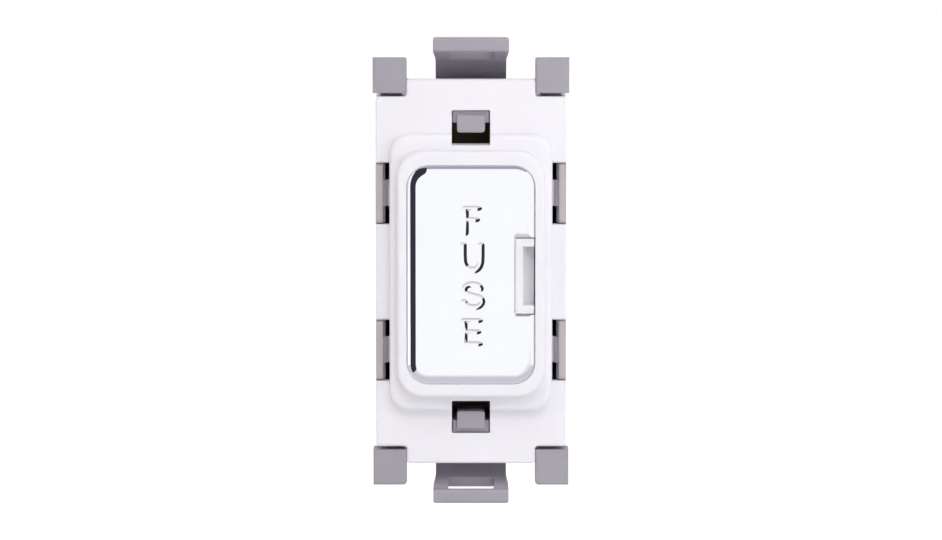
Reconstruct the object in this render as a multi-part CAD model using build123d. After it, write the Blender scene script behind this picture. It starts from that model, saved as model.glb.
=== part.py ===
from build123d import *
import os
from math import atan2, degrees

# Fused outlet: a module that clips into a metal grid frame and carries one cartridge fuse in a
# pull-out carrier. X is to the right, Z is up, and the front faces -Y. Y = 0 is the plane in which
# the rear faces of the four corner blocks seat on the frame, and the origin is the module's centre.
# Sizes are in millimetres. Names that end in _Y are places along Y, where front is the lower number.

# Cartridge fuse, standard size
FUSE_LENGTH = 25.4
FUSE_RADIUS = 3.175
CAP_LENGTH = 6.0
CAP_WALL = 0.22
CAP_END = 0.4
BARREL_BORE = 1.9
ELEMENT_RADIUS = 0.2
FUSE_FIT = 0.02

# Front plate: flat rim, outer plateau and inner bezel
PLATE_WIDTH = 24.0
PLATE_OVERHANG = 2.16
PLATE_THICKNESS = 1.5
PLATE_FRONT_Y = -3.6
PLATE_CORNER = 0.4
PLATE_EDGE = 0.2
CORNER_CUT_WIDTH = 3.9
PLATEAU_RISE = 1.4
PLATEAU_SIDE = 0.95
PLATEAU_END = 1.95
PLATEAU_CORNER = 2.6
PLATEAU_EDGE = 0.7
BEZEL_RISE = 1.6
BEZEL_SIDE = 1.19
BEZEL_END = 1.73
BEZEL_CORNER = 3.4
BEZEL_EDGE = 0.5
GUIDE_DEPTH = 1.5
GUIDE_WALL = 1.2
WINDOW_WIDTH = 4.83
WINDOW_HEIGHT = 4.31
WINDOW_BITE = 1.345
WINDOW_CORNER = 0.1
CHEEK_DEPTH = 1.2
CHEEK_WALL = 0.8
CHEEK_GAP = 0.1
BAR_THICKNESS = 0.5

# Fuse carrier, which slides out towards the front
CARRIER_WIDTH = 16.0
CARRIER_CORNER = 2.65
CARRIER_GAP = 0.09
CARRIER_PROUD = 0.15
CARRIER_TRAVEL = 11.0
COVER_DEPTH = 2.5
COVER_FACE = 1.2
COVER_WALL = 0.7
COVER_EDGE = 0.8
COVER_FIT = 0.05
HEAD_DEPTH = 2.1
HEAD_INSET = 0.05
CRADLE_WIDTH = 8.6
CRADLE_HEIGHT = 10.4
CRADLE_WRAP = 1.7
CRADLE_FIT = 0.06
LEG_WIDTH = 9.0
LEG_THICKNESS = 0.75
LEG_INSET = 0.165
LEG_WINDOW_WIDTH = 3.6
LUG_HEIGHT = 0.8
LUG_DEPTH = 1.2
LUG_CLEARANCE = 0.5
FUSE_END_GAP = 0.15
STOP_GAP = 0.1

# Lever notch in the carrier's right edge
NOTCH_WIDTH = 2.57
NOTCH_HEIGHT = 10.56
BRACKET_GAP = 0.13
BRACKET_HEIGHT = 9.5
BRACKET_DROP = 0.15
BRACKET_BACK = 0.96
BRACKET_ARM = 1.0
BRACKET_SUNK = 0.3
RECESS_DEPTH = 2.0
RECESS_OVERRUN = 0.4

# Housing
HOUSING_REAR_Y = 23.0
HOUSING_FLOOR = 1.4
SIDE_WALL = 1.2
END_WALL = 1.4
HOUSING_CORNER = 0.6
REAR_EDGE = 0.5
HOOK_RIB_DEPTH = 5.0
RAIL_THICKNESS = 1.0
RAIL_GAP = 0.1

# Corner blocks, which seat on the grid frame
BLOCK_INNER_X = 8.1
BLOCK_OUTER_X = 12.35
BLOCK_HEIGHT = 4.52
BLOCK_FRONT_Y = -3.5
BLOCK_SEAT_Y = 0.0
BLOCK_ROOT = 0.45
BLOCK_TAPER = 0.35
BLOCK_INNER_CORNER = 0.5
BLOCK_EDGE = 0.2
BLOCK_WEB_INSET = 0.6
BLOCK_WEB_FRONT_Y = -1.0

# End latches
LATCH_WIDTH = 8.94
LATCH_REACH = 7.39
LATCH_THICKNESS = 1.9
LATCH_HOLLOW = 0.35
LATCH_ROOT_Y = 5.6
LATCH_ROOT_THICKNESS = 2.4
RIM_WIDTH = 9.55
RIM_HEIGHT = 1.8
RIM_FRONT_Y = -3.2
RIM_FLARE = 1.1
RIM_DEPTH = 1.6
RIM_EDGE = 0.35
LATCH_SLOT_WIDTH = 5.76
LATCH_SLOT_LENGTH = 2.3
CATCH_Y = 1.7
CATCH_HEIGHT = 0.6
CATCH_DEPTH = 1.8

# Side tabs that snap over the plate's long edges
TAB_CENTRE = 9.95
TAB_HEIGHT = 7.6
TAB_THICKNESS = 0.94
TAB_SUNK = 0.25
TAB_CORNER = 0.5
TAB_SLIT = 0.35
TAB_SLIT_DEPTH = 7.0
TAB_NOTCH_DEPTH = 1.74
TAB_NOTCH_GAP = 0.1
TAB_HOOK_HEIGHT = 3.3
TAB_HOOK_REACH = 0.55
TAB_HOOK_DEPTH = 0.6
TAB_LEDGE_THICKNESS = 0.3
SNAP_GAP = 0.05

# Snap hooks in the two small windows, each a tongue with a wider head behind its outer end
HOOK_WIDTH = 3.5
HOOK_ARM = 1.15
HOOK_REACH = 2.2
HOOK_PROUD = 0.15
HOOK_CORNER = 0.35
HOOK_INNER_GAP = 1.51
HOOK_BAR_GAP = 0.1
HOOK_FOOT_Y = 1.0
HEAD_WIDTH = 4.6
HEAD_HEIGHT = 1.5
HEAD_SUNK = 0.4
HEAD_OUTER_GAP = 0.1

# Contact clips with their steel springs
JAW_GAP = 0.15
CLIP_THICKNESS = 0.5
CLIP_END_INSET = 0.5
CLIP_CAP_INSET = 0.1
CLIP_BASE_GAP = 1.0
JAW_FRONT_GAP = 0.45
JAW_FLARE = 0.5
JAW_FLARE_LENGTH = 0.9
SPRING_THICKNESS = 0.4
SPRING_WIDTH = 3.4
SPRING_GAP = 0.08
SPRING_FRONT_INSET = 1.9
TAIL_WIDTH = 5.0
TAIL_LEG_GAP = 0.8
TAIL_FLANGE_LENGTH = 4.2

# Terminals, supply at the top and load at the bottom
TERMINAL_WIDTH = 7.8
TERMINAL_HEIGHT = 5.8
TERMINAL_DEPTH = 9.0
TERMINAL_FRONT_Y = 8.4
TERMINAL_EDGE = 0.3
TERMINAL_GAP = 0.1
CONDUCTOR_RADIUS = 2.1
CONDUCTOR_DEPTH = 5.0
CONDUCTOR_Y_OFFSET = 3.6
ENTRY_RADIUS = 2.6
SCREW_RADIUS = 1.34
SCREW_FIT = 0.05
SCREW_SHANK = 6.6
SCREW_TIP_GAP = 0.1
SCREW_TIP_EDGE = 0.3
SCREW_HEAD_RADIUS = 2.4
SCREW_HEAD_HEIGHT = 1.6
SCREW_HEAD_EDGE = 0.3
SCREW_SLOT_WIDTH = 0.8
SCREW_SLOT_DEPTH = 0.9
WELL_RADIUS = 2.65
WELL_WALL = 0.9
POST_WIDTH = 1.3
POST_HEIGHT = 1.7
POST_GAP = 0.1
POCKET_WALL = 1.0

# Places that follow from the sizes above
plate_back_y = PLATE_FRONT_Y + PLATE_THICKNESS
plateau_front_y = PLATE_FRONT_Y - PLATEAU_RISE
bezel_front_y = plateau_front_y - BEZEL_RISE
guide_back_y = plate_back_y + GUIDE_DEPTH
carrier_front_y = bezel_front_y - CARRIER_PROUD
cover_inner_y = carrier_front_y + COVER_FACE
cover_back_y = carrier_front_y + COVER_DEPTH
head_back_y = cover_back_y + HEAD_DEPTH
fuse_y = head_back_y + CRADLE_WRAP
cradle_back_y = fuse_y + CRADLE_WRAP

leg_inner = FUSE_LENGTH / 2 + FUSE_END_GAP
leg_outer = leg_inner + LEG_THICKNESS
carrier_height = 2 * (leg_outer + LEG_INSET)
lug_front_y = guide_back_y + CARRIER_TRAVEL + STOP_GAP
leg_back_y = lug_front_y + LUG_DEPTH

aperture_width = CARRIER_WIDTH + 2 * CARRIER_GAP
aperture_height = carrier_height + 2 * CARRIER_GAP
bezel_width = aperture_width + 2 * BEZEL_SIDE
bezel_height = aperture_height + 2 * BEZEL_END
plateau_width = bezel_width + 2 * PLATEAU_SIDE
plateau_height = bezel_height + 2 * PLATEAU_END
window_inner = plateau_height / 2 - WINDOW_BITE
window_outer = window_inner + WINDOW_HEIGHT
hook_inner = window_inner + HOOK_INNER_GAP
arm_outer = hook_inner + HOOK_ARM
bar_inner = arm_outer + HOOK_BAR_GAP
bar_back_y = plate_back_y + CHEEK_DEPTH
bar_front_y = bar_back_y - BAR_THICKNESS

terminal_inner_z = leg_outer + LUG_HEIGHT + LUG_CLEARANCE
terminal_outer_z = terminal_inner_z + TERMINAL_HEIGHT
terminal_centre_z = (terminal_outer_z + terminal_inner_z) / 2
terminal_back_y = TERMINAL_FRONT_Y + TERMINAL_DEPTH
conductor_y = TERMINAL_FRONT_Y + CONDUCTOR_Y_OFFSET
screw_tip_y = conductor_y + CONDUCTOR_RADIUS + SCREW_TIP_GAP

housing_end = terminal_outer_z + TERMINAL_GAP + END_WALL
housing_side = PLATE_WIDTH / 2
floor_y = HOUSING_REAR_Y - HOUSING_FLOOR
plate_end = housing_end + PLATE_OVERHANG
block_tip = housing_end + BLOCK_ROOT + BLOCK_HEIGHT
latch_tip = housing_end + LATCH_REACH

jaw_inner = FUSE_RADIUS + JAW_GAP
jaw_outer = jaw_inner + CLIP_THICKNESS
clip_inner_z = FUSE_LENGTH / 2 - CAP_LENGTH + CLIP_CAP_INSET
clip_outer_z = FUSE_LENGTH / 2 - CLIP_END_INSET
clip_base_y = fuse_y + FUSE_RADIUS + CLIP_BASE_GAP
jaw_front_y = head_back_y + JAW_FRONT_GAP
spring_inner = jaw_outer + SPRING_GAP
spring_centre_z = (clip_inner_z + clip_outer_z - CLIP_THICKNESS) / 2
pedestal_front_y = clip_base_y + CLIP_THICKNESS + SPRING_GAP + SPRING_THICKNESS
pedestal_end = clip_outer_z - CLIP_THICKNESS
tail_turn_y = leg_back_y + TAIL_LEG_GAP


def span(x0, x1, y0, y1, z0, z1):
    """A block between two corners."""
    size = (x1 - x0, y1 - y0, z1 - z0)
    centre = ((x0 + x1) / 2, (y0 + y1) / 2, (z0 + z1) / 2)
    return Pos(*centre) * Box(*size)


def slab(outline, front_y, back_y):
    """An outline drawn in X and Z, as a plate between two places along Y."""
    return extrude(Plane.XZ.offset(-back_y) * outline, amount=back_y - front_y)


def rounded(width, height, radius, front_y, back_y):
    """A plate with rounded corners, centred on the Y axis."""
    return slab(RectangleRounded(width, height, radius), front_y, back_y)


def rod(radius, y0, y1, z=0.0):
    """A round bar along Y."""
    return Pos(0, (y0 + y1) / 2, z) * Rot(90, 0, 0) * Cylinder(radius, y1 - y0)


def upright_rod(radius, z0, z1, y):
    """A round bar along Z."""
    return Pos(0, y, (z0 + z1) / 2) * Cylinder(radius, z1 - z0)


def both_ends(shape):
    """The shape at the top with its mirror image at the bottom."""
    return shape + mirror(shape, about=Plane.XY)


def both_sides(shape):
    """The shape at the right with its mirror image at the left."""
    return shape + mirror(shape, about=Plane.YZ)


def edges_at_y(shape, y):
    """The edges that lie wholly in one plane across Y."""
    return shape.edges().filter_by_position(Axis.Y, y - 0.01, y + 0.01)


def plate_outline():
    """The plate's flat outline, with a step at each corner and two notches in each long edge."""
    outline = Rectangle(PLATE_WIDTH, 2 * plate_end)
    step = Rectangle(2 * CORNER_CUT_WIDTH, 2 * PLATE_OVERHANG)
    notch = Rectangle(2 * TAB_NOTCH_DEPTH, TAB_HEIGHT + 2 * TAB_NOTCH_GAP)
    places = [(side * PLATE_WIDTH / 2, end) for side in (-1, 1) for end in (-1, 1)]
    for x, end in places:
        outline -= Pos(x, end * plate_end) * step
    outline = fillet(outline.vertices(), PLATE_CORNER)
    for x, end in places:
        outline -= Pos(x, end * TAB_CENTRE) * notch
    return outline


def holding_posts():
    """Posts behind the plate that hold the terminal blocks down in their pockets."""
    post_x = TERMINAL_WIDTH / 2 - POST_WIDTH
    post_z = terminal_inner_z + POST_HEIGHT
    post = span(post_x, post_x + POST_WIDTH, plate_back_y, TERMINAL_FRONT_Y - POST_GAP,
                post_z, post_z + POST_HEIGHT)
    return both_ends(both_sides(post))


def hook_bars():
    """Behind each window, two cheeks and the bar that the snap hook catches."""
    cheek_x = WINDOW_WIDTH / 2
    outer = housing_end - END_WALL - CHEEK_GAP
    cheek = span(cheek_x, cheek_x + CHEEK_WALL, plate_back_y, bar_back_y, window_inner, outer)
    bar = span(-cheek_x, cheek_x, bar_front_y, bar_back_y, bar_inner, outer)
    return both_ends(both_sides(cheek) + bar)


def tab_ledges():
    """Ledges in the side notches that the snap arms' hooks catch."""
    ledge = span(housing_side - TAB_NOTCH_DEPTH, housing_side - TAB_THICKNESS - SNAP_GAP,
                 plate_back_y - TAB_LEDGE_THICKNESS, plate_back_y,
                 TAB_CENTRE - TAB_HOOK_HEIGHT / 2, TAB_CENTRE + TAB_HOOK_HEIGHT / 2)
    return both_ends(both_sides(ledge))


def front_plate():
    """White moulding: rim, plateau, bezel, carrier guide, windows, side notches and posts."""
    plate = slab(plate_outline(), PLATE_FRONT_Y, plate_back_y)
    plate = chamfer(edges_at_y(plate, PLATE_FRONT_Y), PLATE_EDGE)
    plateau = rounded(plateau_width, plateau_height, PLATEAU_CORNER, plateau_front_y, plate_back_y)
    plateau = fillet(edges_at_y(plateau, plateau_front_y), PLATEAU_EDGE)
    bezel = rounded(bezel_width, bezel_height, BEZEL_CORNER, bezel_front_y, plate_back_y)
    bezel = fillet(edges_at_y(bezel, bezel_front_y), BEZEL_EDGE)
    aperture_corner = CARRIER_CORNER + CARRIER_GAP
    guide = rounded(aperture_width + 2 * GUIDE_WALL, aperture_height + 2 * GUIDE_WALL,
                    aperture_corner + GUIDE_WALL, plate_back_y, guide_back_y)
    plate += plateau + bezel + guide
    plate -= rounded(aperture_width, aperture_height, aperture_corner, bezel_front_y - 1, guide_back_y + 1)
    window = RectangleRounded(WINDOW_WIDTH, WINDOW_HEIGHT, WINDOW_CORNER)
    opening = slab(Pos(0, (window_inner + window_outer) / 2) * window, plateau_front_y - 1, plate_back_y)
    return plate - both_ends(opening) + hook_bars() + tab_ledges() + holding_posts()


def side_tabs():
    """Four snap arms that rise from the side walls through the plate's notches."""
    front_y = PLATE_FRONT_Y + TAB_SUNK
    tab = span(housing_side - TAB_THICKNESS, housing_side, front_y, plate_back_y + 1,
               TAB_CENTRE - TAB_HEIGHT / 2, TAB_CENTRE + TAB_HEIGHT / 2)
    corners = edges_at_y(tab, front_y).filter_by(Axis.X)
    tab = fillet(corners, TAB_CORNER)
    hook_back_y = plate_back_y - TAB_LEDGE_THICKNESS - SNAP_GAP
    hook_x = housing_side - TAB_THICKNESS
    wedge = Polyline((hook_x, hook_back_y), (hook_x - TAB_HOOK_REACH, hook_back_y),
                     (hook_x - TAB_HOOK_REACH, hook_back_y - TAB_HOOK_DEPTH / 2),
                     (hook_x, hook_back_y - TAB_HOOK_DEPTH), close=True)
    hook = extrude(Plane.XY.offset(TAB_CENTRE - TAB_HOOK_HEIGHT / 2) * make_face(wedge),
                   amount=TAB_HOOK_HEIGHT)
    return both_ends(both_sides(tab + hook))


def tab_slits():
    """Slits in the side walls beside each snap arm."""
    slit_z = TAB_CENTRE + TAB_HEIGHT / 2
    lower_z = TAB_CENTRE - TAB_HEIGHT / 2
    slit = span(housing_side - SIDE_WALL - 1, housing_side + 1, plate_back_y - 1,
                plate_back_y + TAB_SLIT_DEPTH, slit_z, slit_z + TAB_SLIT)
    slit += span(housing_side - SIDE_WALL - 1, housing_side + 1, plate_back_y - 1,
                 plate_back_y + TAB_SLIT_DEPTH, lower_z - TAB_SLIT, lower_z)
    return both_ends(both_sides(slit))


def window_hooks():
    """Snap hooks on a cross rib at each end, seen through the plate's small windows."""
    front_y = PLATE_FRONT_Y - HOOK_PROUD
    catch_y = bar_front_y - SNAP_GAP
    rib_front_y = bar_back_y + SNAP_GAP
    rib_back_y = rib_front_y + HOOK_RIB_DEPTH
    rib_inner = bar_inner + SNAP_GAP
    side = HOOK_WIDTH / 2
    tongue = span(-side, side, front_y, catch_y, hook_inner, hook_inner + HOOK_REACH)
    tongue = fillet(tongue.edges().filter_by(Axis.Y).group_by(Axis.Z)[0], HOOK_CORNER)
    arm = span(-side, side, catch_y, rib_back_y, hook_inner + HOOK_CORNER, arm_outer)
    foot = span(-side, side, HOOK_FOOT_Y, rib_back_y, arm_outer, rib_inner)
    head_outer = window_outer - HEAD_OUTER_GAP
    head = span(-HEAD_WIDTH / 2, HEAD_WIDTH / 2, PLATE_FRONT_Y + HEAD_SUNK, catch_y,
                head_outer - HEAD_HEIGHT, head_outer)
    rib = span(SIDE_WALL / 2 - housing_side, housing_side - SIDE_WALL / 2, rib_front_y, rib_back_y,
               rib_inner, housing_end - END_WALL / 2)
    return both_ends(tongue + arm + foot + head + rib)


def corner_blocks():
    """Four blocks outside the end walls, whose rear faces seat on the grid frame."""
    root = housing_end + BLOCK_ROOT
    outline = Pos((BLOCK_INNER_X + BLOCK_OUTER_X) / 2, root + BLOCK_HEIGHT / 2)
    outline = outline * Rectangle(BLOCK_OUTER_X - BLOCK_INNER_X, BLOCK_HEIGHT)
    outline = fillet(outline.vertices().group_by(Axis.Y)[-1].sort_by(Axis.X)[0], BLOCK_INNER_CORNER)
    block = slab(outline, BLOCK_FRONT_Y, BLOCK_SEAT_Y)
    block = chamfer(edges_at_y(block, BLOCK_FRONT_Y).sort_by(Axis.Z)[1:], BLOCK_EDGE)
    side = Polyline((BLOCK_FRONT_Y, root), (BLOCK_FRONT_Y, block_tip),
                    (BLOCK_SEAT_Y, block_tip - BLOCK_TAPER), (BLOCK_SEAT_Y, root), close=True)
    block &= extrude(Plane.YZ * make_face(side), amount=BLOCK_OUTER_X)
    web = span(BLOCK_INNER_X + BLOCK_WEB_INSET, housing_side - BLOCK_WEB_INSET, BLOCK_WEB_FRONT_Y,
               BLOCK_SEAT_Y, housing_end - END_WALL / 2, root + BLOCK_HEIGHT / 4)
    return both_ends(both_sides(block + web))


def end_latches():
    """A slanted leaf at each end with a rim in front, a release slot, and catches behind it."""
    rim_back_y = RIM_FRONT_Y + RIM_DEPTH
    rim_inner = latch_tip - RIM_HEIGHT
    root = housing_end - END_WALL / 2
    front_foot = Vector(LATCH_ROOT_Y, housing_end)
    front_top = Vector(RIM_FRONT_Y + RIM_DEPTH / 2, rim_inner)
    lean = (front_top - front_foot).normalized()
    outward = Vector(lean.Y, -lean.X)
    hollow = (front_foot + front_top) / 2 + outward * LATCH_HOLLOW
    back_top = front_top + outward * LATCH_THICKNESS
    catch_foot = back_top + lean * ((CATCH_Y - back_top.X) / lean.X)
    catch_peak = catch_foot + Vector(0, CATCH_HEIGHT)
    catch_end = catch_foot - lean * CATCH_DEPTH
    back_foot = front_foot + Vector(LATCH_ROOT_THICKNESS, 0)
    with BuildLine() as line:
        ThreePointArc(front_foot, hollow, front_top)
        Polyline(front_top, back_top, catch_foot, catch_peak, catch_end, back_foot,
                 (back_foot.X, root), (front_foot.X, root), front_foot)
    leaf = extrude(Plane.YZ * make_face(line.line), amount=RIM_WIDTH / 2, both=True)
    right = [(LATCH_WIDTH / 2, root - 1), (LATCH_WIDTH / 2, rim_inner - RIM_FLARE),
             (RIM_WIDTH / 2, rim_inner), (RIM_WIDTH / 2, latch_tip + 1)]
    left = [(-x, z) for x, z in reversed(right)]
    leaf &= slab(make_face(Polyline(*right, *left, close=True)), RIM_FRONT_Y - 1, HOUSING_REAR_Y)
    rim = span(-RIM_WIDTH / 2, RIM_WIDTH / 2, RIM_FRONT_Y, rim_back_y, rim_inner, latch_tip)
    rim = fillet(rim.edges().filter_by(Axis.X) + rim.edges().filter_by(Axis.Y), RIM_EDGE)
    slot_centre = front_top + outward * (LATCH_THICKNESS / 2) - lean * (LATCH_SLOT_LENGTH / 2)
    tilt = degrees(atan2(lean.Y, -lean.X))
    slot = Pos(0, slot_centre.X, slot_centre.Y) * Rot(-tilt, 0, 0)
    slot = slot * Box(LATCH_SLOT_WIDTH, LATCH_SLOT_LENGTH, 4 * LATCH_THICKNESS)
    return both_ends(leaf + rim - slot)


def terminal_pockets():
    """Walls that hold each terminal block, and the tube that the screw is reached through."""
    wall_x = TERMINAL_WIDTH / 2 + TERMINAL_GAP
    wall = span(wall_x, wall_x + POCKET_WALL, TERMINAL_FRONT_Y, floor_y + HOUSING_FLOOR / 2,
                terminal_centre_z, housing_end - END_WALL / 2)
    tube = rod(WELL_RADIUS + WELL_WALL, terminal_back_y, floor_y + HOUSING_FLOOR / 2, terminal_centre_z)
    return both_ends(both_sides(wall) + tube)


def carrier_rails():
    """Upright rails beside the carrier's legs."""
    rail_x = LEG_WIDTH / 2 + RAIL_GAP
    rail = span(rail_x, rail_x + RAIL_THICKNESS, guide_back_y + RAIL_GAP, floor_y + HOUSING_FLOOR / 2,
                leg_inner - RAIL_GAP, leg_outer + RAIL_GAP)
    return both_ends(both_sides(rail))


def housing():
    """Grey moulding: open box with blocks, latches, snaps, rails, pedestal and terminal pockets."""
    shell = rounded(PLATE_WIDTH, 2 * housing_end, HOUSING_CORNER, plate_back_y, HOUSING_REAR_Y)
    shell = chamfer(edges_at_y(shell, HOUSING_REAR_Y), REAR_EDGE)
    shell -= span(SIDE_WALL - housing_side, housing_side - SIDE_WALL, plate_back_y - 1, floor_y,
                  END_WALL - housing_end, housing_end - END_WALL)
    pedestal_x = spring_inner + SPRING_THICKNESS
    pedestal = span(-pedestal_x, pedestal_x, pedestal_front_y, floor_y + HOUSING_FLOOR / 2,
                    -pedestal_end, pedestal_end)
    inner = window_hooks() + terminal_pockets() + carrier_rails() + pedestal
    body = shell - tab_slits() + inner + side_tabs() + corner_blocks() + end_latches()
    wells = rod(WELL_RADIUS, terminal_back_y - 1, HOUSING_REAR_Y + 1, terminal_centre_z)
    entry = upright_rod(ENTRY_RADIUS, housing_end - END_WALL - 1, housing_end + 1, conductor_y)
    return body - both_ends(wells) - both_ends(entry)


def carrier_body():
    """White moulding behind the chromed cover: head, fuse cradle, legs with stop lugs, bracket."""
    inset = 2 * (COVER_WALL + COVER_FIT)
    front_step = rounded(CARRIER_WIDTH - inset, carrier_height - inset,
                         CARRIER_CORNER - COVER_WALL - COVER_FIT, cover_inner_y, cover_back_y)
    head = rounded(CARRIER_WIDTH - 2 * HEAD_INSET, carrier_height - 2 * HEAD_INSET,
                   CARRIER_CORNER - HEAD_INSET, cover_back_y, head_back_y)
    bracket_left = CARRIER_WIDTH / 2 - NOTCH_WIDTH + BRACKET_GAP
    bracket_right = CARRIER_WIDTH / 2 - HEAD_INSET
    bracket_front_y = carrier_front_y + BRACKET_SUNK
    bracket = span(bracket_left, bracket_right, bracket_front_y, cover_back_y + 0.5,
                   -BRACKET_DROP - BRACKET_HEIGHT / 2, BRACKET_HEIGHT / 2 - BRACKET_DROP)
    recess_half = BRACKET_HEIGHT / 2 - BRACKET_ARM
    recess_left = bracket_left + BRACKET_BACK
    recess_radius = bracket_right - recess_left + RECESS_OVERRUN
    scoop = scale(Cylinder(1, 2 * recess_half), (recess_radius, RECESS_DEPTH, 1))
    scoop = Pos(bracket_right + RECESS_OVERRUN, bracket_front_y, -BRACKET_DROP) * scoop
    cradle = span(-CRADLE_WIDTH / 2, CRADLE_WIDTH / 2, head_back_y - 0.5, cradle_back_y,
                  -CRADLE_HEIGHT / 2, CRADLE_HEIGHT / 2)
    leg = span(-LEG_WIDTH / 2, LEG_WIDTH / 2, head_back_y - 0.5, leg_back_y, leg_inner, leg_outer)
    lug = span(-LEG_WIDTH / 2, LEG_WIDTH / 2, lug_front_y, leg_back_y, leg_outer, leg_outer + LUG_HEIGHT)
    window = span(-LEG_WINDOW_WIDTH / 2, LEG_WINDOW_WIDTH / 2, head_back_y + 1.5, lug_front_y - 1.5,
                  leg_inner - 1, leg_outer + 1)
    body = front_step + head + bracket + cradle + both_ends(leg + lug - window)
    barrel_radius = FUSE_RADIUS - CAP_WALL
    trough = upright_rod(barrel_radius + CRADLE_FIT, -FUSE_LENGTH / 2, FUSE_LENGTH / 2, fuse_y)
    cap_seat = upright_rod(FUSE_RADIUS + CRADLE_FIT, FUSE_LENGTH / 2 - CAP_LENGTH - 0.1,
                           leg_inner, fuse_y)
    return body - trough - both_ends(cap_seat) - scoop


def carrier_cover():
    """Chromed cap over the carrier's front, notched at the right for the lever bracket."""
    cover = rounded(CARRIER_WIDTH, carrier_height, CARRIER_CORNER, carrier_front_y, cover_back_y)
    cover = chamfer(edges_at_y(cover, carrier_front_y), COVER_EDGE)
    inset = 2 * COVER_WALL
    cover -= rounded(CARRIER_WIDTH - inset, carrier_height - inset, CARRIER_CORNER - COVER_WALL,
                     cover_inner_y, cover_back_y + 1)
    notch = span(CARRIER_WIDTH / 2 - NOTCH_WIDTH, CARRIER_WIDTH / 2 + 1, carrier_front_y - 1,
                 cover_back_y + 1, -NOTCH_HEIGHT / 2, NOTCH_HEIGHT / 2)
    return cover - notch


def fuse_barrel():
    """Ceramic tube of the cartridge fuse."""
    half = FUSE_LENGTH / 2 - CAP_END - FUSE_FIT
    outer = upright_rod(FUSE_RADIUS - CAP_WALL - FUSE_FIT, -half, half, fuse_y)
    return outer - upright_rod(BARREL_BORE, -half - 1, half + 1, fuse_y)


def fuse_cap():
    """Plated end cap of the cartridge fuse, the upper one."""
    end = FUSE_LENGTH / 2
    cap = upright_rod(FUSE_RADIUS, end - CAP_LENGTH, end, fuse_y)
    cap = chamfer(cap.edges().filter_by(GeomType.CIRCLE).sort_by(Axis.Z)[-1], CAP_END / 2)
    return cap - upright_rod(FUSE_RADIUS - CAP_WALL, end - CAP_LENGTH - 1, end - CAP_END, fuse_y)


def fuse_element():
    """Fuse wire along the barrel, from cap to cap."""
    half = FUSE_LENGTH / 2 - CAP_END
    return upright_rod(ELEMENT_RADIUS, -half, half, fuse_y)


def contact_clip():
    """One stamping, the upper one: two jaws beside the fuse cap, a base, and a tail to the terminal."""
    base = span(-jaw_outer, jaw_outer, clip_base_y, clip_base_y + CLIP_THICKNESS,
                clip_inner_z, clip_outer_z)
    flare_y = jaw_front_y + JAW_FLARE_LENGTH
    profile = Polyline((jaw_inner, clip_base_y + CLIP_THICKNESS / 2), (jaw_inner, flare_y),
                       (jaw_inner + JAW_FLARE, jaw_front_y), (jaw_outer + JAW_FLARE, jaw_front_y),
                       (jaw_outer, flare_y), (jaw_outer, clip_base_y + CLIP_THICKNESS / 2), close=True)
    jaw = extrude(Plane.XY.offset(clip_inner_z) * make_face(profile), amount=clip_outer_z - clip_inner_z)
    tail_x = TAIL_WIDTH / 2
    tail_back_y = tail_turn_y + CLIP_THICKNESS
    down = span(-tail_x, tail_x, clip_base_y, tail_back_y, clip_outer_z - CLIP_THICKNESS, clip_outer_z)
    out = span(-tail_x, tail_x, tail_turn_y, tail_back_y, clip_outer_z - CLIP_THICKNESS, terminal_inner_z)
    flange = span(-tail_x, tail_x, tail_turn_y, tail_turn_y + TAIL_FLANGE_LENGTH,
                  terminal_inner_z - CLIP_THICKNESS, terminal_inner_z)
    return base + both_sides(jaw) + down + out + flange


def contact_spring():
    """Steel spring round the outside of the upper clip's jaws."""
    outer = spring_inner + SPRING_THICKNESS
    base_y = clip_base_y + CLIP_THICKNESS + SPRING_GAP
    front_y = jaw_front_y + SPRING_FRONT_INSET
    spring = span(-outer, outer, front_y, base_y + SPRING_THICKNESS,
                  spring_centre_z - SPRING_WIDTH / 2, spring_centre_z + SPRING_WIDTH / 2)
    return spring - span(-spring_inner, spring_inner, front_y - 1, base_y,
                         spring_centre_z - SPRING_WIDTH, spring_centre_z + SPRING_WIDTH)


def terminal_block():
    """Brass block of the upper terminal: conductor bore from the end, screw hole from the rear."""
    block = span(-TERMINAL_WIDTH / 2, TERMINAL_WIDTH / 2, TERMINAL_FRONT_Y, terminal_back_y,
                 terminal_inner_z, terminal_outer_z)
    block = chamfer(block.edges(), TERMINAL_EDGE)
    bore = upright_rod(CONDUCTOR_RADIUS, terminal_outer_z - CONDUCTOR_DEPTH, terminal_outer_z + 1,
                       conductor_y)
    screw_hole = rod(SCREW_RADIUS + SCREW_FIT, conductor_y, terminal_back_y + 1, terminal_centre_z)
    return block - bore - screw_hole


def terminal_screw():
    """Slotted clamping screw of the upper terminal, backed out so that the bore is open."""
    head_y = screw_tip_y + SCREW_SHANK
    shank = rod(SCREW_RADIUS, screw_tip_y, head_y, terminal_centre_z)
    shank = chamfer(edges_at_y(shank, screw_tip_y), SCREW_TIP_EDGE)
    head = rod(SCREW_HEAD_RADIUS, head_y, head_y + SCREW_HEAD_HEIGHT, terminal_centre_z)
    head = chamfer(edges_at_y(head, head_y + SCREW_HEAD_HEIGHT), SCREW_HEAD_EDGE)
    slot = span(-SCREW_HEAD_RADIUS - 1, SCREW_HEAD_RADIUS + 1,
                head_y + SCREW_HEAD_HEIGHT - SCREW_SLOT_DEPTH, head_y + SCREW_HEAD_HEIGHT + 1,
                terminal_centre_z - SCREW_SLOT_WIDTH / 2, terminal_centre_z + SCREW_SLOT_WIDTH / 2)
    return shank + head - slot


def lower(shape):
    """The lower copy of a piece that is made at the top."""
    return mirror(shape, about=Plane.XY)


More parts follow.
